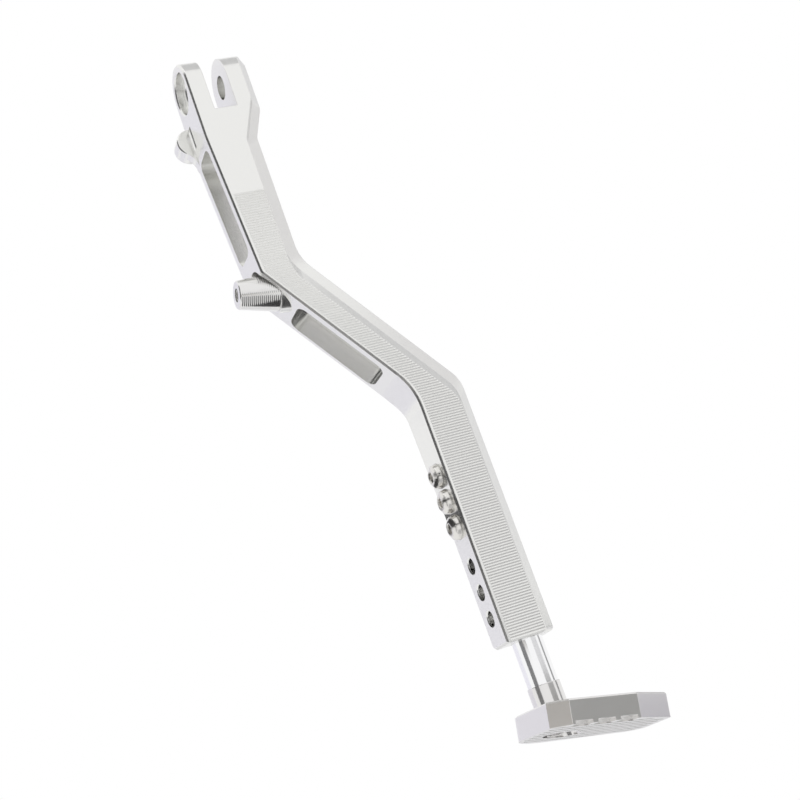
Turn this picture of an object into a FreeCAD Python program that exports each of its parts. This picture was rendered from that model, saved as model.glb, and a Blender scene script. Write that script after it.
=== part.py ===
import FreeCAD
import Part
import math
import os

# Adjustable side stand: a milled arm that pivots on a clevis, a round leg that slides in the arm's lower
# end and is held by three button-head screws, and a tilted foot on the leg.
# Millimetres. The origin is on the pivot axis, midway between the ears. X runs along the pivot axis,
# -Y is the ribbed front face and +Z is up, with the leg straight down.

Vector = FreeCAD.Vector
UP = Vector(0, 0, 1)
DOWN = Vector(0, 0, -1)
RIGHT = Vector(1, 0, 0)
LEFT = Vector(-1, 0, 0)
BACK = Vector(0, 1, 0)

# Lengths down the stand, one after the other from the pivot axis
head_length = 27.9
upper_length = 64.1
mid_drop = 62.1
lower_length = 108.5
leg_out = 18.7
foot_drop = 20.0

# Clevis head
head_depth = 24.5
slot_width = 10.0
slot_depth = 16.0
ear_left = 7.9
ear_right = 11.1
ear_bevel_height = 5.0
ear_bevel_angle = 32.5
pivot_radius = 5.1
seat_radius = 8.8
seat_depth = 3.5
pivot_chamfer = 0.6

# Arm outline seen from the front
upper_lean = 3.35
mid_lean = 36.2
upper_width = 23.3
mid_width = 23.3
lower_width = 23.0
taper_drop = 16.5
taper_angle = 23.1
elbow_inner_round = 27.0
elbow_outer_round = 14.0
knee_inner_round = 18.0
knee_outer_round = 4.0
taper_round = 6.0
end_corner_round = 2.0
edge_chamfer = 0.8

# Facets along the arm's right edge: how far each stands in at the front, and at the step behind it
facet_depth = 5.5
flange_depth = 2.0
head_facet = 4.1
upper_facet = 6.5
mid_facet = 12.1
lower_facet = 5.8
head_step = 1.0
upper_step = 1.0
mid_step = 5.6
lower_step = 2.0
taper_rise = 3.5

# Arm thickness below the elbow, and where it changes, measured from the elbow
thin_depth = 19.3
lower_depth = 16.0
thin_start = 4.1
thin_end = 6.9
lower_start = 61.9
back_round = 12.0
end_round = 2.5

# Ribs across the front face
rib_pitch = 1.1
rib_depth = 0.34
rib_start = 28.1
rib_border = 1.0

# Relief pockets in the left face
pocket_front_rim = 4.1
pocket_depth = 8.0
pocket_round = 4.0
upper_pocket_top_rim = 3.1
upper_pocket_bottom_rim = 11.2
upper_pocket_back_rim = 4.3
mid_pocket_top_rim = 20.0
mid_pocket_bottom_rim = 13.4
mid_pocket_back_rim = 2.6

# Stop lug at the back of the head, and the scoop in front of it
lug_rise = 8.9
lug_radius = 6.2
lug_width = 8.5
lug_reach = 4.0
lug_chamfer = 0.5
lug_fillet = 10.0
scoop_radius = 2.3
scoop_length = 10.0
scoop_offset = 0.5

# Kick peg, its boss and the spot face round it
peg_drop = 5.3
peg_y = -1.2
peg_tilt = 7.0
peg_end_radius = 5.9
peg_base_radius = 8.1
peg_length = 16.6
peg_seat = 7.0
peg_chamfer = 0.4
peg_stud_radius = 4.0
peg_stud_length = 12.0
peg_stud_room = 1.0
peg_socket_radius = 2.8
peg_socket_depth = 5.0
boss_clearance = 0.7
boss_length = 9.0

# Leg and its bore
leg_radius = 6.25
leg_cover = 5.8
leg_chamfer = 1.0
leg_axis_depth = 8.1
bore_clearance = 0.05
bore_room = 3.0
bore_chamfer = 0.5
retract = 18.0
flat_cut = 1.0
flat_margin = 2.5

# Clamp screws and the row of tapped holes
first_screw_drop = 36.2
screw_pitch = 11.0
screw_count = 3
row_gap = 16.6
screw_radius = 3.0
thread_clearance = 0.02
screw_tip_gap = 0.06
screw_head_radius = 5.25
screw_head_height = 3.3
screw_crown_radius = 2.9
screw_bulge = 0.8
screw_hex = 4.0
screw_hex_depth = 2.0
hole_chamfer = 0.5

# Foot: its tilt, its plate, and its outline measured from the leg axis
foot_tilt = 12.0
foot_thickness = 9.7
foot_front = 28.3
foot_front_left = 7.0
foot_front_right = 20.8
foot_left_front = 14.1
foot_left_corner = 22.8
foot_right_front = 36.8
foot_right_corner = 20.3
foot_left_back = 14.8
foot_back_left = 21.5
foot_right_back = 38.0
foot_back_right = 11.0
foot_left_round = 12.0
foot_right_round = 9.0
foot_chamfer = 0.6
foot_boss_radius = 6.7
foot_collar = 1.6
tread_pitch = 5.0
tread_width = 1.8
tread_depth = 0.8
tread_margin = 1.8
notch_count = 3
notch_pitch = 9.2
notch_width = 7.0
notch_depth = 1.3
notch_length = 6.0

# Screw that holds the foot to the leg
foot_screw_radius = 4.0
foot_screw_grip = 14.0
foot_screw_head_radius = 6.5
foot_screw_head_height = 4.0
foot_screw_hex = 5.0
foot_screw_hex_depth = 3.0
foot_screw_recess = 6.5
foot_screw_recess_radius = 7.4
foot_screw_clearance = 0.3
foot_screw_room = 3.0

# Values worked out from the driving dimensions
margin = 5.0
front_y = -head_depth / 2
back_y = head_depth / 2
nose_radius = head_depth / 2
left_x = -slot_width / 2 - ear_left
right_x = slot_width / 2 + ear_right
shoulder_z = -head_length
knee_z = shoulder_z - upper_length
elbow_z = knee_z - mid_drop
end_z = elbow_z - lower_length
seam_z = end_z - leg_out
sole_z = seam_z - foot_drop
upper_slope = math.tan(math.radians(upper_lean))
mid_slope = math.tan(math.radians(mid_lean))
taper_slope = math.tan(math.radians(taper_angle))
bevel_slope = math.tan(math.radians(ear_bevel_angle))
knee_x = left_x + upper_slope * upper_length
lower_x = knee_x + mid_slope * mid_drop
leg_x = lower_x + lower_width / 2
leg_y = front_y + leg_axis_depth
first_screw_z = elbow_z - first_screw_drop
screw_levels = [first_screw_z - i * screw_pitch for i in range(screw_count)]
spare_levels = [screw_levels[-1] - row_gap - i * screw_pitch for i in range(screw_count)]
leg_top_z = first_screw_z + leg_cover
flat_x = leg_x - leg_radius + flat_cut
hole_radius = screw_radius + thread_clearance
peg_seat_x = left_x + upper_slope * upper_length + peg_seat
peg_centre = Vector(peg_seat_x, peg_y, knee_z - peg_drop)
peg_out = Vector(-math.cos(math.radians(peg_tilt)), 0, math.sin(math.radians(peg_tilt)))
boss_radius = peg_base_radius + boss_clearance
lug_z = shoulder_z + lug_rise
lug_front_y = back_y + lug_reach - lug_width


def corner_arc(before, corner, after, radius):
    """Arc that rounds a corner, as its start, middle and end points."""
    back = (before - corner).normalize()
    ahead = (after - corner).normalize()
    half = back.getAngle(ahead) / 2
    reach = radius / math.tan(half)
    bisector = (back + ahead).normalize()
    centre = corner + bisector * (radius / math.sin(half))
    return corner + back * reach, centre - bisector * radius, corner + ahead * reach


def rounded_wire(points, radii):
    """Closed wire through the points, each corner rounded by its radius, 0 for a sharp one."""
    edges = []
    count = len(points)
    first = None
    last = None
    for i in range(count):
        start = points[i]
        end = points[i]
        if radii[i] > 0:
            start, middle, end = corner_arc(points[i - 1], points[i], points[(i + 1) % count], radii[i])
        if last is not None:
            edges.append(Part.LineSegment(last, start).toShape())
        if first is None:
            first = start
        if radii[i] > 0:
            edges.append(Part.Arc(start, middle, end).toShape())
        last = end
    edges.append(Part.LineSegment(last, first).toShape())
    return Part.Wire(edges)


def prism(points, radii, direction):
    """Solid of a rounded outline pushed along a direction."""
    return Part.Face(rounded_wire(points, radii)).extrude(direction)


def polygon_face(points):
    """Flat face inside straight edges."""
    return Part.Face(Part.makePolygon(points + points[:1]))


def rod(radius, start, end):
    """Cylinder from one point to another."""
    return Part.makeCylinder(radius, (end - start).Length, start, end - start)


def cone(radius_a, radius_b, start, end):
    """Cone from one point to another."""
    return Part.makeCone(radius_a, radius_b, (end - start).Length, start, end - start)


def hexagon(across, depth, mouth, outward, upward):
    """Hexagonal socket of a width across flats, sunk from its mouth."""
    radius = across / 2 / math.cos(math.pi / 6)
    side = outward.cross(upward)
    corners = []
    for i in range(6):
        angle = i * math.pi / 3
        corners.append(mouth + side * (radius * math.cos(angle)) + upward * (radius * math.sin(angle)))
    return polygon_face(corners).extrude(outward * -depth)


def level_wire(depth, head_cut, upper_cut, mid_cut, lower_cut):
    """Arm outline at a depth below the front face. The cuts narrow it along its right edge."""
    y = front_y + depth
    top_z = nose_radius + margin
    head_x = right_x - head_cut
    upper_x = left_x + upper_width - upper_cut
    mid_x = knee_x + mid_width - mid_cut
    low_x = lower_x + lower_width - lower_cut
    bevel_z = ear_bevel_height + head_cut / bevel_slope
    taper_z = -taper_drop + taper_rise * head_cut / head_facet
    outline = [
        (left_x, top_z, 0),
        (head_x - bevel_slope * (top_z - bevel_z), top_z, 0),
        (head_x, bevel_z, 0),
        (head_x, taper_z, taper_round),
        (upper_x, taper_z - (head_x - upper_x) / taper_slope, taper_round),
        (upper_x, knee_z + (mid_x - upper_x) / mid_slope, knee_inner_round),
        (low_x, knee_z - (low_x - mid_x) / mid_slope, elbow_outer_round),
        (low_x, end_z, end_corner_round),
        (lower_x, end_z, 0),
        (lower_x, elbow_z, elbow_inner_round),
        (knee_x, knee_z, knee_outer_round),
        (left_x, shoulder_z, 0),
    ]
    points = [Vector(x, y, z) for x, z, r in outline]
    return rounded_wire(points, [r for x, z, r in outline])


def side_profile():
    """Arm seen from the side: round nose, deep head and a thinner lower end."""
    start = left_x - margin
    reach = RIGHT * (lower_x + lower_width - start + margin)
    outline = [
        (front_y, end_z, 0),
        (front_y, 0, 0),
        (back_y, 0, 0),
        (back_y, elbow_z + thin_start, back_round),
        (front_y + thin_depth, elbow_z - thin_end, back_round),
        (front_y + lower_depth, elbow_z - lower_start, 0),
        (front_y + lower_depth, end_z, end_round),
    ]
    points = [Vector(start, y, z) for y, z, r in outline]
    trunk = prism(points, [r for y, z, r in outline], reach)
    nose = rod(nose_radius, Vector(start, 0, 0), Vector(start, 0, 0) + reach)
    return trunk.fuse([nose]).removeSplitter()


def left_rim(body):
    """Edges between the front face or the round nose and the left walls of the arm."""
    edges = []
    for face in body.Faces:
        u1, u2, v1, v2 = face.ParameterRange
        normal = face.normalAt((u1 + u2) / 2, (v1 + v2) / 2)
        if normal.x < -0.5 and abs(normal.y) < 0.01:
            for edge in face.Edges:
                box = edge.BoundBox
                on_front = box.YMax < front_y + edge_chamfer
                on_nose = box.ZMin > -edge_chamfer and box.YLength > nose_radius
                if on_front and box.ZLength > 0 or on_nose:
                    edges.append(edge)
    return edges


def full_facets():
    """How far the right-hand facets stand in at the front face."""
    return [head_facet, upper_facet, mid_facet, lower_facet]


def arm_blank():
    """Front outline with its right-hand facets, cut to the side profile, with a bevelled left rim."""
    full = full_facets()
    steps = [head_step, upper_step, mid_step, lower_step]
    inner = [cut - step for cut, step in zip(full, steps)]
    levels = [
        level_wire(0, *full),
        level_wire(facet_depth - flange_depth, *inner),
        level_wire(facet_depth, 0, 0, 0, 0),
    ]
    layers = [Part.makeLoft([low, high], True, True) for low, high in zip(levels, levels[1:])]
    body = Part.Face(levels[-1]).extrude(BACK * (head_depth - facet_depth + margin))
    body = body.fuse(layers).removeSplitter().common(side_profile()).removeSplitter()
    return body.makeChamfer(edge_chamfer, left_rim(body))


def rib_cutter():
    """Comb that leaves V-shaped ribs across the front face, short of its left rim."""
    start = left_x - margin
    top = shoulder_z - rib_start
    count = int((top - end_z) / rib_pitch)
    points = []
    for i in range(count):
        z = top - i * rib_pitch
        points.append(Vector(start, front_y, z))
        points.append(Vector(start, front_y + rib_depth, z - rib_pitch / 2))
    bottom = top - count * rib_pitch
    points.append(Vector(start, front_y, bottom))
    points.append(Vector(start, front_y - margin, bottom))
    points.append(Vector(start, front_y - margin, top))
    comb = polygon_face(points).extrude(RIGHT * (lower_x + lower_width - start + margin))
    field = Part.Face(level_wire(-margin, *full_facets())).extrude(BACK * (margin + rib_depth))
    field.translate(RIGHT * (edge_chamfer + rib_border))
    return comb.common(field)


def clevis_cuts():
    """Slot between the ears, the pivot bore, its seat in the left ear and their chamfers."""
    slot = Part.makeBox(slot_width, head_depth + 2 * margin, nose_radius + slot_depth + margin,
                        Vector(-slot_width / 2, front_y - margin, -slot_depth))
    bore = rod(pivot_radius, RIGHT * (left_x - margin), RIGHT * (right_x + margin))
    seat = rod(seat_radius, RIGHT * (left_x - margin), RIGHT * (left_x + seat_depth))
    rim = cone(seat_radius + pivot_chamfer, seat_radius, RIGHT * left_x, RIGHT * (left_x + pivot_chamfer))
    cuts = [slot, bore, seat, rim]
    wide = pivot_radius + pivot_chamfer
    for x, way in ((left_x + seat_depth, 1), (right_x, -1)):
        cuts.append(cone(wide, pivot_radius, RIGHT * x, RIGHT * (x + way * pivot_chamfer)))
    return cuts


def upper_pocket():
    """Blind relief pocket in the left face of the upper run."""
    x = left_x - margin
    y1 = front_y + pocket_front_rim
    y2 = back_y - upper_pocket_back_rim
    top = shoulder_z - upper_pocket_top_rim
    bottom = knee_z + upper_pocket_bottom_rim
    points = [Vector(x, y1, bottom), Vector(x, y2, bottom), Vector(x, y2, top), Vector(x, y1, top)]
    return prism(points, [pocket_round] * 4, RIGHT * (margin + pocket_depth))


def mid_pocket():
    """Blind relief pocket square to the left face of the slanted run."""
    lean = math.radians(mid_lean)
    along = Vector(math.sin(lean), 0, -math.cos(lean))
    inward = Vector(math.cos(lean), 0, math.sin(lean))
    length = mid_drop / math.cos(lean) - mid_pocket_top_rim - mid_pocket_bottom_rim
    origin = Vector(knee_x, 0, knee_z) + along * mid_pocket_top_rim - inward * margin
    front = origin + BACK * (front_y + pocket_front_rim)
    back = origin + BACK * (back_y - mid_pocket_back_rim)
    points = [front, front + along * length, back + along * length, back]
    return prism(points, [pocket_round] * 4, inward * (margin + pocket_depth))


def stop_lug():
    """Round lug that stands out of the head's left face and behind its back, filleted into the arm below."""
    start = Vector(left_x, lug_front_y, lug_z)
    disc = rod(lug_radius - lug_chamfer, start, start + BACK * lug_width)
    disc = disc.fuse([rod(lug_radius, start + BACK * lug_chamfer, start + BACK * (lug_width - lug_chamfer))])
    for end, way in ((start, BACK), (start + BACK * lug_width, -BACK)):
        disc = disc.fuse([cone(lug_radius - lug_chamfer, lug_radius, end, end + way * lug_chamfer)])
    drop = math.sqrt(lug_radius * (lug_radius + 2 * lug_fillet))
    foot_x = left_x + upper_slope * max(0, shoulder_z - lug_z + drop)
    foot = Vector(foot_x, lug_front_y, lug_z - drop)
    centre = foot + LEFT * lug_fillet
    to_disc = (start - centre).normalize()
    touch = centre + to_disc * lug_fillet
    middle = centre + (to_disc + RIGHT).normalize() * lug_fillet
    inside = RIGHT * lug_radius
    wire = Part.Wire([
        Part.Arc(foot, middle, touch).toShape(),
        Part.LineSegment(touch, start + inside).toShape(),
        Part.LineSegment(start + inside, foot + inside).toShape(),
        Part.LineSegment(foot + inside, foot).toShape(),
    ])
    web = Part.Face(wire).extrude(BACK * (back_y - lug_front_y))
    return disc.fuse([web]).removeSplitter()


def lug_scoop():
    """Round groove down the left face in front of the lug."""
    middle = Vector(left_x - scoop_offset, lug_front_y - scoop_radius, lug_z)
    top = middle + UP * (scoop_length / 2)
    bottom = middle + DOWN * (scoop_length / 2)
    return rod(scoop_radius, bottom, top)


def tapped_row():
    """The row of tapped holes from the left face into the bore, the spare ones with a chamfer."""
    cuts = []
    for z in screw_levels + spare_levels:
        mouth = Vector(lower_x, leg_y, z)
        cuts.append(rod(hole_radius, mouth + LEFT * margin, Vector(leg_x, leg_y, z)))
    for z in spare_levels:
        mouth = Vector(lower_x, leg_y, z)
        cuts.append(cone(hole_radius + hole_chamfer, hole_radius, mouth, mouth + RIGHT * hole_chamfer))
    return cuts


def leg_bore():
    """Blind bore for the leg, open at the arm's lower end."""
    mouth = Vector(leg_x, leg_y, end_z)
    top = Vector(leg_x, leg_y, leg_top_z + retract + bore_room)
    radius = leg_radius + bore_clearance
    return [rod(radius, mouth + DOWN * margin, top),
            cone(radius + bore_chamfer, radius, mouth, mouth + UP * bore_chamfer)]


def make_arm():
    """The milled arm, with ribs, boss, lug, pockets and bores."""
    body = arm_blank().cut([rib_cutter()])
    boss = rod(boss_radius, peg_centre, peg_centre - peg_out * boss_length)
    body = body.fuse([boss, stop_lug()]).removeSplitter()
    cuts = clevis_cuts() + tapped_row() + leg_bore()
    cuts += [upper_pocket(), mid_pocket(), lug_scoop()]
    cuts.append(rod(boss_radius, peg_centre, peg_centre + peg_out * peg_length))
    cuts.append(rod(peg_stud_radius + thread_clearance, peg_centre + peg_out * margin,
                    peg_centre - peg_out * (peg_stud_length + peg_stud_room)))
    return body.cut(cuts)


def make_leg():
    """Round leg with a flat for the clamp screws and a tapped hole for the foot screw."""
    top = Vector(leg_x, leg_y, leg_top_z)
    seam = Vector(leg_x, leg_y, seam_z)
    shoulder = top + DOWN * leg_chamfer
    leg = rod(leg_radius, seam, shoulder)
    leg = leg.fuse([cone(leg_radius, leg_radius - leg_chamfer, shoulder, top)]).removeSplitter()
    flat_bottom_z = screw_levels[-1] - screw_radius - retract - flat_margin
    flat = Part.makeBox(leg_radius, 4 * leg_radius, leg_top_z - flat_bottom_z + margin,
                        Vector(flat_x - leg_radius, leg_y - 2 * leg_radius, flat_bottom_z))
    hole_top = seam + UP * (foot_screw_grip + foot_screw_room)
    hole = rod(foot_screw_radius + thread_clearance, seam + DOWN * margin, hole_top)
    return leg.cut([flat, hole])


def foot_point(u, w, height):
    """Point of the tilted foot: u to the right, w to the back, height above the sole."""
    tilt = math.radians(foot_tilt)
    right = Vector(math.cos(tilt), 0, -math.sin(tilt))
    up = Vector(math.sin(tilt), 0, math.cos(tilt))
    return Vector(leg_x, leg_y, sole_z) + right * u + BACK * w + up * height


def foot_wire():
    """Outline of the sole: straight facets at the front and sides, rounded corners at the back."""
    outline = [
        (-foot_left_front, -foot_left_corner, 0),
        (-foot_front_left, -foot_front, 0),
        (foot_front_right, -foot_front, 0),
        (foot_right_front, -foot_right_corner, 0),
        (foot_right_back, foot_back_right, foot_right_round),
        (-foot_left_back, foot_back_left, foot_left_round),
    ]
    points = [foot_point(u, w, 0) for u, w, r in outline]
    return rounded_wire(points, [r for u, w, r in outline])


def foot_up(height):
    """Step of a height square to the sole."""
    return foot_point(0, 0, height) - foot_point(0, 0, 0)


def sole_bar(left, right, front, back, depth):
    """Block sunk into the sole between two lengths across it and two along it."""
    corners = [foot_point(left, front, 0), foot_point(right, front, 0),
               foot_point(right, back, 0), foot_point(left, back, 0)]
    return polygon_face(corners).extrude(foot_up(depth))


def tread_cuts():
    """Parallel grooves across the sole, stopped short of its outline."""
    field = Part.Face(foot_wire().makeOffset2D(-tread_margin)).extrude(foot_up(tread_depth))
    count = int((foot_front + foot_back_left) / tread_pitch)
    bars = []
    for i in range(count):
        w = -foot_front + i * tread_pitch
        bars.append(sole_bar(-foot_left_back, foot_right_back, w, w + tread_width, tread_depth))
    return field.common(Part.makeCompound(bars))


def notch_cuts():
    """Wide notches in the sole's front edge."""
    middle = (foot_front_right - foot_front_left) / 2
    cuts = []
    for i in range(notch_count):
        u = middle + (i - (notch_count - 1) / 2) * notch_pitch
        cuts.append(sole_bar(u - notch_width / 2, u + notch_width / 2,
                             -foot_front - margin, -foot_front + notch_length, notch_depth))
    return cuts


def top_rim(plate):
    """Edges round the top of the foot plate."""
    normal = foot_up(1)
    level = foot_point(0, 0, foot_thickness)
    return [e for e in plate.Edges if all(abs((v.Point - level).dot(normal)) < 0.01 for v in e.Vertexes)]


def make_foot():
    """Tilted foot plate with a collared boss that carries the leg and a recess for its screw."""
    plate = Part.Face(foot_wire()).extrude(foot_up(foot_thickness))
    plate = plate.makeChamfer(foot_chamfer, top_rim(plate))
    seam = Vector(leg_x, leg_y, seam_z)
    sole = Vector(leg_x, leg_y, sole_z)
    boss = rod(foot_boss_radius, sole + UP * (foot_thickness / 2), seam)
    root = sole + UP * (foot_thickness / math.cos(math.radians(foot_tilt)))
    collar = cone(foot_boss_radius + foot_collar, foot_boss_radius - foot_collar,
                  root, root + foot_up(2 * foot_collar))
    foot = plate.fuse([boss, collar]).removeSplitter()
    recess = rod(foot_screw_recess_radius, sole + DOWN * margin, sole + UP * foot_screw_recess)
    hole = rod(foot_screw_radius + foot_screw_clearance, sole, seam + UP * margin)
    return foot.cut([tread_cuts(), recess, hole] + notch_cuts())


def make_foot_screw():
    """Socket screw from the recess in the sole up into the leg."""
    seat = Vector(leg_x, leg_y, sole_z + foot_screw_recess)
    face = seat + DOWN * foot_screw_head_height
    head = rod(foot_screw_head_radius, face, seat)
    shank = rod(foot_screw_radius, seat, Vector(leg_x, leg_y, seam_z + foot_screw_grip))
    socket = hexagon(foot_screw_hex, foot_screw_hex_depth, face, DOWN, BACK)
    return head.fuse([shank]).removeSplitter().cut([socket])


def make_clamp_screw(z):
    """Button-head screw with a hex socket, its tip on the leg's flat."""
    seat = Vector(lower_x, leg_y, z)
    edge = seat + UP * screw_head_radius
    top = seat + LEFT * screw_head_height
    crown = top + UP * screw_crown_radius
    bulge = (edge + crown) / 2 + (UP + LEFT).normalize() * screw_bulge
    head = polygon_face([seat, edge, bulge, crown, top]).revolve(seat, RIGHT, 360)
    shank = rod(screw_radius, seat, Vector(flat_x - screw_tip_gap, leg_y, z))
    socket = hexagon(screw_hex, screw_hex_depth, top, LEFT, UP)
    return head.fuse([shank]).removeSplitter().cut([socket])


def make_kick_peg():
    """Turned conical peg with a stud into the arm and a drilled end."""
    taper = (peg_base_radius - peg_end_radius) / peg_length
    outline = [
        (0, 0),
        (0, peg_base_radius),
        (peg_length - peg_chamfer, peg_end_radius + taper * peg_chamfer),
        (peg_length, peg_end_radius - peg_chamfer),
        (peg_length, 0),
    ]
    across = peg_out.cross(BACK)
    points = [peg_centre + peg_out * x + across * r for x, r in outline]
    body = polygon_face(points).revolve(peg_centre, peg_out, 360)
    stud = rod(peg_stud_radius, peg_centre, peg_centre - peg_out * peg_stud_length)
    end = peg_centre + peg_out * peg_length
    socket = rod(peg_socket_radius, end + peg_out * margin, end - peg_out * peg_socket_depth)
    return body.fuse([stud]).removeSplitter().cut([socket])


def export(name, shape):
    """One STEP file per piece, or per set of like fasteners."""
    part = shape.Solids[0] if len(shape.Solids) == 1 else shape
    part.exportStep("parts/" + name + ".step")
    print(name, "solids", len(shape.Solids), "valid", shape.isValid(), "volume", round(shape.Volume, 1))


os.makedirs("parts", exist_ok=True)
export("arm", make_arm())
export("leg", make_leg())
export("foot", make_foot())
export("foot_screw", make_foot_screw())
export("kick_peg", make_kick_peg())
export("clamp_screws", Part.makeCompound([make_clamp_screw(z) for z in screw_levels]))
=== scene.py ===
import math

import bpy
from mathutils import Matrix, Vector

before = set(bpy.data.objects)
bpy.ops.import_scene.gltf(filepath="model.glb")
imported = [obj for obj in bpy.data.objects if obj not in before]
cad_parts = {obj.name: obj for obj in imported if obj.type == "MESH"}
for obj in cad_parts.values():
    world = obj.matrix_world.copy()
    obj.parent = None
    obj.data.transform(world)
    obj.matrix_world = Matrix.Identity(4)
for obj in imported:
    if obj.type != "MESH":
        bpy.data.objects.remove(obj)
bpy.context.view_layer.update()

# The camera that matches the photograph: just below the foot, looking up at the sole
CAMERA_PLACE = (-0.19281, -0.54794, -0.31298)
CAMERA_RIGHT = (0.90246, -0.27772, -0.32929)
CAMERA_UP = (0.22218, -0.35480, 0.90816)
CAMERA_BACK = (-0.36905, -0.89274, -0.25849)
LENS = 67.5
SENSOR = 36.0
CLIP_START = 0.01

# The floor lies below the camera. From FADE_START to FADE_END, in metres from the frame's
# upright axis, it runs out into the white backdrop
FLOOR_Z = -0.42
FLOOR_SIZE = 1.5
FLOOR_COLOUR = (0.92, 0.92, 0.92)
FADE_START = 0.25
FADE_END = 0.70

# Soft light from all round and one soft lamp
WHITE = (1, 1, 1, 1)
SOFT_LIGHT = (0.93, 0.93, 0.94, 1)
KEY_PLACE = (-0.6, -0.5, 1.0)
KEY_SIZE = 0.8
KEY_POWER = 0.8
TARGET = Vector((0.02, 0.0, -0.15))

# Plain cards for the metal to mirror. An upright card faces the stand, a level one lies flat.
# Each row is facing, name, centre, width, height (or depth of a level card), colour
SHEET_ROUGHNESS = 0.9
UPRIGHT = "upright"
LEVEL = "level"
MAT_LIFT = 0.003
MAT_Z = FLOOR_Z + MAT_LIFT
CARDS = (
    # In front: the foot's front, a grey strip on the leg, and the foot's left facet
    (UPRIGHT, "front_band", (0.25, -0.437, -0.305), 0.34, 0.11, (0.43, 0.43, 0.42)),
    (UPRIGHT, "leg_band", (0.25, -0.437, -0.225), 0.34, 0.05, (0.82, 0.82, 0.82)),
    (UPRIGHT, "facet_card", (-0.15, -0.19, -0.205), 0.12, 0.08, (0.57, 0.55, 0.52)),
    # On the left: the dark line along the left chamfer and the dark strip on the leg
    (UPRIGHT, "left_flag", (-0.37, -0.15, 0.11), 0.24, 0.62, (0.08, 0.08, 0.08)),
    (UPRIGHT, "leg_flag", (-0.37, -0.15, -0.31), 0.24, 0.22, (0.25, 0.25, 0.25)),
    (LEVEL, "left_mat", (-0.31, -0.19, MAT_Z), 0.14, 0.28, (0.08, 0.08, 0.08)),
    # Below: the ribs, the dark side of the kick peg, and the sole. The screws mirror the peg's
    # dark card too, and a white one under a part of it keeps it out of the top of the foot
    (LEVEL, "front_mat", (0.2, -0.19, MAT_Z), 0.45, 0.28, (0.57, 0.57, 0.57)),
    (LEVEL, "peg_card", (-0.0075, -0.035, -0.2), 0.075, 0.19, (0.04, 0.04, 0.04)),
    (LEVEL, "peg_card_under", (-0.0075, -0.098, -0.201), 0.085, 0.076, (0.95, 0.95, 0.95)),
    (LEVEL, "sole_card", (0.28, 0.56, MAT_Z), 0.6, 0.5, (0.80, 0.80, 0.81)),
    # Above: the tops of the ears
    (LEVEL, "top_card", (0.045, -0.005, 0.15), 0.055, 0.14, (0.72, 0.72, 0.72)),
    # On the left and in front: the clamp screws
    (UPRIGHT, "screw_card", (-0.42, 0.03, -0.08), 0.2, 0.2, (0.35, 0.35, 0.35)),
    (UPRIGHT, "screw_front", (-0.013, -0.35, -0.13), 0.14, 0.12, (0.12, 0.12, 0.12)),
    # On the right: the facets of the arm, the right side of the leg, and the foot's right facet
    (UPRIGHT, "facet_right", (0.8, -0.06, 0.2), 0.2, 0.7, (0.88, 0.88, 0.89)),
    (UPRIGHT, "head_card", (0.6, -0.3, 0.16), 0.25, 0.36, (0.86, 0.85, 0.85)),
    (UPRIGHT, "right_card", (0.85, 0.40, 0.3), 0.7, 0.8, (0.72, 0.72, 0.72)),
    (UPRIGHT, "right_band", (0.63, -0.185, -0.255), 0.16, 0.10, (0.35, 0.35, 0.35)),
    (UPRIGHT, "low_card", (0.75, -0.20, -0.40), 0.3, 0.1, (0.65, 0.64, 0.68)),
    # Behind: the left faces. The gap between the two leaves the arm white above the screws
    (UPRIGHT, "back_card", (-0.40, 0.80, 0.305), 1.2, 0.43, (0.93, 0.92, 0.98)),
    (UPRIGHT, "back_low", (-0.40, 0.80, -0.225), 1.2, 0.39, (0.955, 0.945, 1.0)),
)

# Base colours of the metals
ARM_COLOUR = (0.83, 0.828, 0.81)
FOOT_COLOUR = (0.78, 0.77, 0.76)
LEG_COLOUR = (0.92, 0.92, 0.925)
PEG_COLOUR = (0.78, 0.775, 0.765)
SCREW_COLOUR = (0.765, 0.75, 0.72)

# Tool marks: scale of the noise, and its stretch, which is smallest along the marks
ARM_MARKS = (900.0, (0.05, 1, 1))
FOOT_MARKS = (800.0, (0.05, 1, 1))
LEG_MARKS = (1200.0, (1, 1, 0.05))
PEG_MARKS = (1500.0, (1, 0.2, 0.2))
SCREW_MARKS = (1200.0, (1, 1, 1))
MARK_DETAIL = 3.0

# Broad patches in which the colour differs slightly
PATCHES = (18.0, (1, 1, 1))
PATCH_DETAIL = 2.0

# Heights of the tool marks, in metres
MILLED_RELIEF = 2e-6
FINE_RELIEF = 1e-6

# Turned rings on the kick peg, along its axis
PEG_TILT = math.radians(7)
PEG_AXIS = (-math.cos(PEG_TILT), 0, math.sin(PEG_TILT))
RING_PITCH = 0.0008
RING_HEIGHT = 0.00013
HALF_TURN = 0.5

# Radius over which the shading rolls over an edge. On the screws it makes the heads round
EDGE_SOFTNESS = 0.0003
SCREW_SOFTNESS = 0.0014
EDGE_SAMPLES = 6


def add_camera():
    """Camera at the photograph's viewing angle."""
    data = bpy.data.cameras.new("camera")
    data.lens = LENS
    data.sensor_width = SENSOR
    data.clip_start = CLIP_START
    camera = bpy.data.objects.new("camera", data)
    axes = Matrix((CAMERA_RIGHT, CAMERA_UP, CAMERA_BACK)).transposed()
    camera.matrix_world = Matrix.Translation(CAMERA_PLACE) @ axes.to_4x4()
    bpy.context.collection.objects.link(camera)
    bpy.context.scene.camera = camera


def add_lamp(name, place, size, power):
    """Soft square lamp that faces the stand."""
    data = bpy.data.lights.new(name, "AREA")
    data.shape = "SQUARE"
    data.size = size
    data.energy = power
    lamp = bpy.data.objects.new(name, data)
    lamp.location = place
    lamp.rotation_euler = (TARGET - Vector(place)).to_track_quat("-Z", "Y").to_euler()
    bpy.context.collection.objects.link(lamp)


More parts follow.
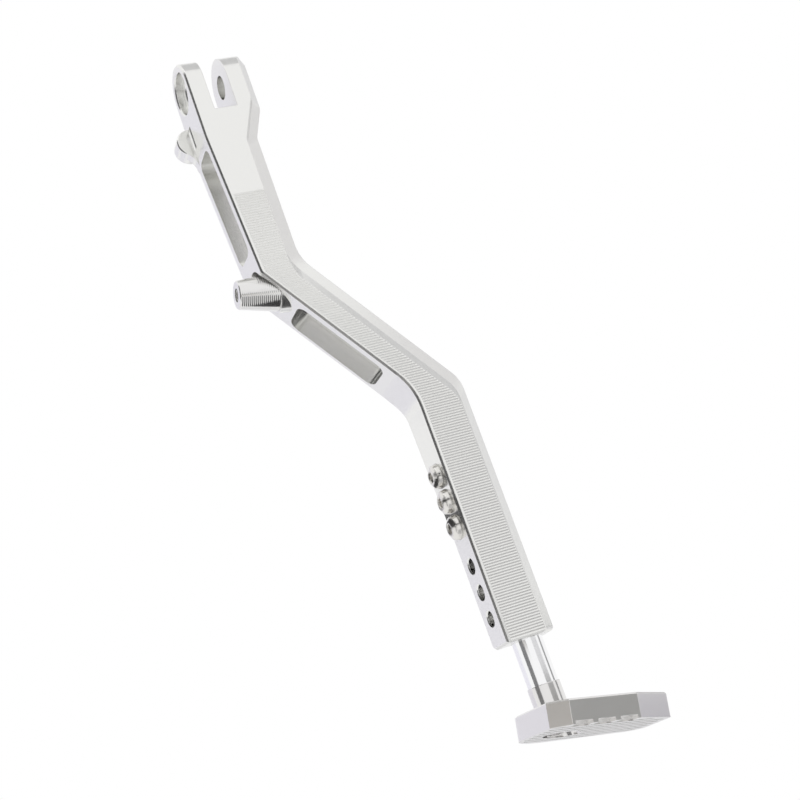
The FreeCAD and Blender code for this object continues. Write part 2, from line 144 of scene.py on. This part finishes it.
def plain_surface(name, colour):
    """Plain matt surface for the floor and the cards."""
    material = bpy.data.materials.new(name)
    material.use_nodes = True
    shader = material.node_tree.nodes["Principled BSDF"]
    shader.inputs["Base Color"].default_value = colour + (1,)
    shader.inputs["Roughness"].default_value = SHEET_ROUGHNESS
    return material


def add_sheet(name, place, width, height, colour):
    """Flat sheet that belongs to the studio."""
    bpy.ops.mesh.primitive_plane_add(size=1, location=place)
    sheet = bpy.context.object
    sheet.name = name
    sheet.scale = (width, height, 1)
    sheet.data.materials.append(plain_surface(name, colour))
    return sheet


def add_card(facing, name, place, width, height, colour):
    """Card that only shows as a reflection in the metal."""
    card = add_sheet(name, place, width, height, colour)
    card.visible_camera = False
    card.visible_diffuse = False
    card.visible_shadow = False
    if facing == UPRIGHT:
        to_stand = Vector((TARGET.x - place[0], TARGET.y - place[1], 0))
        card.rotation_euler = to_stand.to_track_quat("Z", "Y").to_euler()


def seen_or_mirrored(nodes, links):
    """1 for rays from the camera and for rays that a surface mirrors or lets through."""
    path = nodes.new("ShaderNodeLightPath")
    value = path.outputs["Is Camera Ray"]
    for kind in ("Is Glossy Ray", "Is Transmission Ray"):
        larger = nodes.new("ShaderNodeMath")
        larger.operation = "MAXIMUM"
        links.new(value, larger.inputs[0])
        links.new(path.outputs[kind], larger.inputs[1])
        value = larger.outputs[0]
    return value


def far_from_stand(nodes, links):
    """0 on the floor by the stand, and 1 far from it."""
    place = nodes.new("ShaderNodeTexCoord")
    radius = nodes.new("ShaderNodeVectorMath")
    radius.operation = "LENGTH"
    links.new(place.outputs["Object"], radius.inputs[0])
    fade = nodes.new("ShaderNodeMapRange")
    fade.interpolation_type = "SMOOTHSTEP"
    fade.inputs["From Min"].default_value = FADE_START / FLOOR_SIZE
    fade.inputs["From Max"].default_value = FADE_END / FLOOR_SIZE
    links.new(radius.outputs["Value"], fade.inputs["Value"])
    return fade.outputs["Result"]


def add_floor():
    """Pale floor that keeps the shadow by the stand. The metal mirrors the backdrop in its place."""
    floor = add_sheet("floor", (0, 0, FLOOR_Z), FLOOR_SIZE, FLOOR_SIZE, FLOOR_COLOUR)
    floor.visible_glossy = False
    nodes = floor.data.materials[0].node_tree.nodes
    links = floor.data.materials[0].node_tree.links
    share = nodes.new("ShaderNodeMath")
    share.operation = "MULTIPLY"
    links.new(far_from_stand(nodes, links), share.inputs[0])
    links.new(seen_or_mirrored(nodes, links), share.inputs[1])
    white = nodes.new("ShaderNodeEmission")
    white.inputs["Color"].default_value = WHITE
    mix = nodes.new("ShaderNodeMixShader")
    links.new(share.outputs["Value"], mix.inputs["Fac"])
    links.new(nodes["Principled BSDF"].outputs["BSDF"], mix.inputs[1])
    links.new(white.outputs["Emission"], mix.inputs[2])
    links.new(mix.outputs["Shader"], nodes["Material Output"].inputs["Surface"])


def add_world():
    """White backdrop, also as the metal mirrors it, and soft light from all round."""
    world = bpy.data.worlds.new("studio")
    bpy.context.scene.world = world
    world.use_nodes = True
    nodes = world.node_tree.nodes
    links = world.node_tree.links
    nodes.clear()
    light = nodes.new("ShaderNodeBackground")
    light.inputs["Color"].default_value = SOFT_LIGHT
    white = nodes.new("ShaderNodeBackground")
    white.inputs["Color"].default_value = WHITE
    mix = nodes.new("ShaderNodeMixShader")
    links.new(seen_or_mirrored(nodes, links), mix.inputs["Fac"])
    links.new(light.outputs["Background"], mix.inputs[1])
    links.new(white.outputs["Background"], mix.inputs[2])
    out = nodes.new("ShaderNodeOutputWorld")
    links.new(mix.outputs["Shader"], out.inputs["Surface"])


def build_studio():
    """White world, floor, one soft lamp and the cards that give the metal its lines."""
    add_world()
    add_floor()
    add_lamp("key", KEY_PLACE, KEY_SIZE, KEY_POWER)
    for card in CARDS:
        add_card(*card)


def stretched_noise(nodes, links, scale, stretch, detail):
    """Noise in object space, which a stretch draws out along an axis like tool marks."""
    place = nodes.new("ShaderNodeTexCoord")
    mapping = nodes.new("ShaderNodeMapping")
    mapping.inputs["Scale"].default_value = stretch
    links.new(place.outputs["Object"], mapping.inputs["Vector"])
    noise = nodes.new("ShaderNodeTexNoise")
    noise.inputs["Scale"].default_value = scale
    noise.inputs["Detail"].default_value = detail
    links.new(mapping.outputs["Vector"], noise.inputs["Vector"])
    return noise.outputs["Fac"]


def mottled(nodes, links, factor, colour, spread):
    """Colour that a 0 to 1 factor makes darker or lighter by a share of it, the spread."""
    mix = nodes.new("ShaderNodeMix")
    mix.data_type = "RGBA"
    mix.inputs["A"].default_value = tuple(c * (1 - spread) for c in colour) + (1,)
    mix.inputs["B"].default_value = tuple(min(1.0, c * (1 + spread)) for c in colour) + (1,)
    links.new(factor, mix.inputs["Factor"])
    return mix.outputs["Result"]


def link_ramp(nodes, links, factor, low, high):
    """Maps a 0 to 1 factor to the range from low to high."""
    ramp = nodes.new("ShaderNodeMapRange")
    ramp.inputs["To Min"].default_value = low
    ramp.inputs["To Max"].default_value = high
    links.new(factor, ramp.inputs["Value"])
    return ramp.outputs["Result"]


def soft_edges(nodes, radius):
    """Normal that rolls over the edges, as on deburred metal."""
    bevel = nodes.new("ShaderNodeBevel")
    bevel.samples = EDGE_SAMPLES
    bevel.inputs["Radius"].default_value = radius
    return bevel.outputs["Normal"]


def bumped(nodes, links, normal, height, distance):
    """Normal with a relief on top of it."""
    relief = nodes.new("ShaderNodeBump")
    relief.inputs["Distance"].default_value = distance
    links.new(height, relief.inputs["Height"])
    links.new(normal, relief.inputs["Normal"])
    return relief.outputs["Normal"]


def rings_along(nodes, links, axis, pitch):
    """Wave from 0 to a half and back along an axis, once per pitch."""
    place = nodes.new("ShaderNodeTexCoord")
    along = nodes.new("ShaderNodeVectorMath")
    along.operation = "DOT_PRODUCT"
    along.inputs[1].default_value = axis
    links.new(place.outputs["Object"], along.inputs[0])
    turns = nodes.new("ShaderNodeMath")
    turns.operation = "MULTIPLY"
    turns.inputs[1].default_value = 1 / pitch
    links.new(along.outputs["Value"], turns.inputs[0])
    wave = nodes.new("ShaderNodeMath")
    wave.operation = "PINGPONG"
    wave.inputs[1].default_value = HALF_TURN
    links.new(turns.outputs[0], wave.inputs[0])
    return wave.outputs[0]


def metal(name, colour, spread, rough, marks, relief, rings=None, softness=EDGE_SOFTNESS):
    """Bright metal with patches in its colour, and tool marks in its roughness and relief.

    rough is (lowest, highest), marks is (scale, stretch) and relief is their height in metres.
    rings, where given, is (axis, pitch, height) of turned rings.
    """
    material = bpy.data.materials.new(name)
    material.use_nodes = True
    nodes = material.node_tree.nodes
    links = material.node_tree.links
    shader = nodes["Principled BSDF"]
    shader.inputs["Metallic"].default_value = 1.0
    fine = stretched_noise(nodes, links, *marks, MARK_DETAIL)
    broad = stretched_noise(nodes, links, *PATCHES, PATCH_DETAIL)
    links.new(mottled(nodes, links, broad, colour, spread), shader.inputs["Base Color"])
    links.new(link_ramp(nodes, links, fine, *rough), shader.inputs["Roughness"])
    normal = bumped(nodes, links, soft_edges(nodes, softness), fine, relief)
    if rings:
        axis, pitch, height = rings
        normal = bumped(nodes, links, normal, rings_along(nodes, links, axis, pitch), height)
    links.new(normal, shader.inputs["Normal"])
    return material


def paint(material, *names):
    """Gives CAD nodes a finished material."""
    for name in names:
        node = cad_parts[name]
        for slot in node.material_slots:
            slot.material = material


def dress():
    """Finished metals on all the CAD nodes."""
    arm = metal("milled_alloy", ARM_COLOUR, spread=0.012, rough=(0.18, 0.26),
                marks=ARM_MARKS, relief=MILLED_RELIEF)
    paint(arm, "arm")
    foot = metal("foot_alloy", FOOT_COLOUR, spread=0.02, rough=(0.10, 0.16),
                 marks=FOOT_MARKS, relief=MILLED_RELIEF)
    paint(foot, "foot")
    leg = metal("polished_leg", LEG_COLOUR, spread=0.01, rough=(0.06, 0.12),
                marks=LEG_MARKS, relief=FINE_RELIEF)
    paint(leg, "leg")
    peg = metal("turned_peg", PEG_COLOUR, spread=0.02, rough=(0.08, 0.14),
                marks=PEG_MARKS, relief=FINE_RELIEF, rings=(PEG_AXIS, RING_PITCH, RING_HEIGHT))
    paint(peg, "kick_peg")
    screws = metal("screw_steel", SCREW_COLOUR, spread=0.03, rough=(0.10, 0.18),
                   marks=SCREW_MARKS, relief=FINE_RELIEF, softness=SCREW_SOFTNESS)
    paint(screws, "clamp_screws", "foot_screw")


bpy.context.scene.view_settings.view_transform = "Standard"
add_camera()
build_studio()
dress()
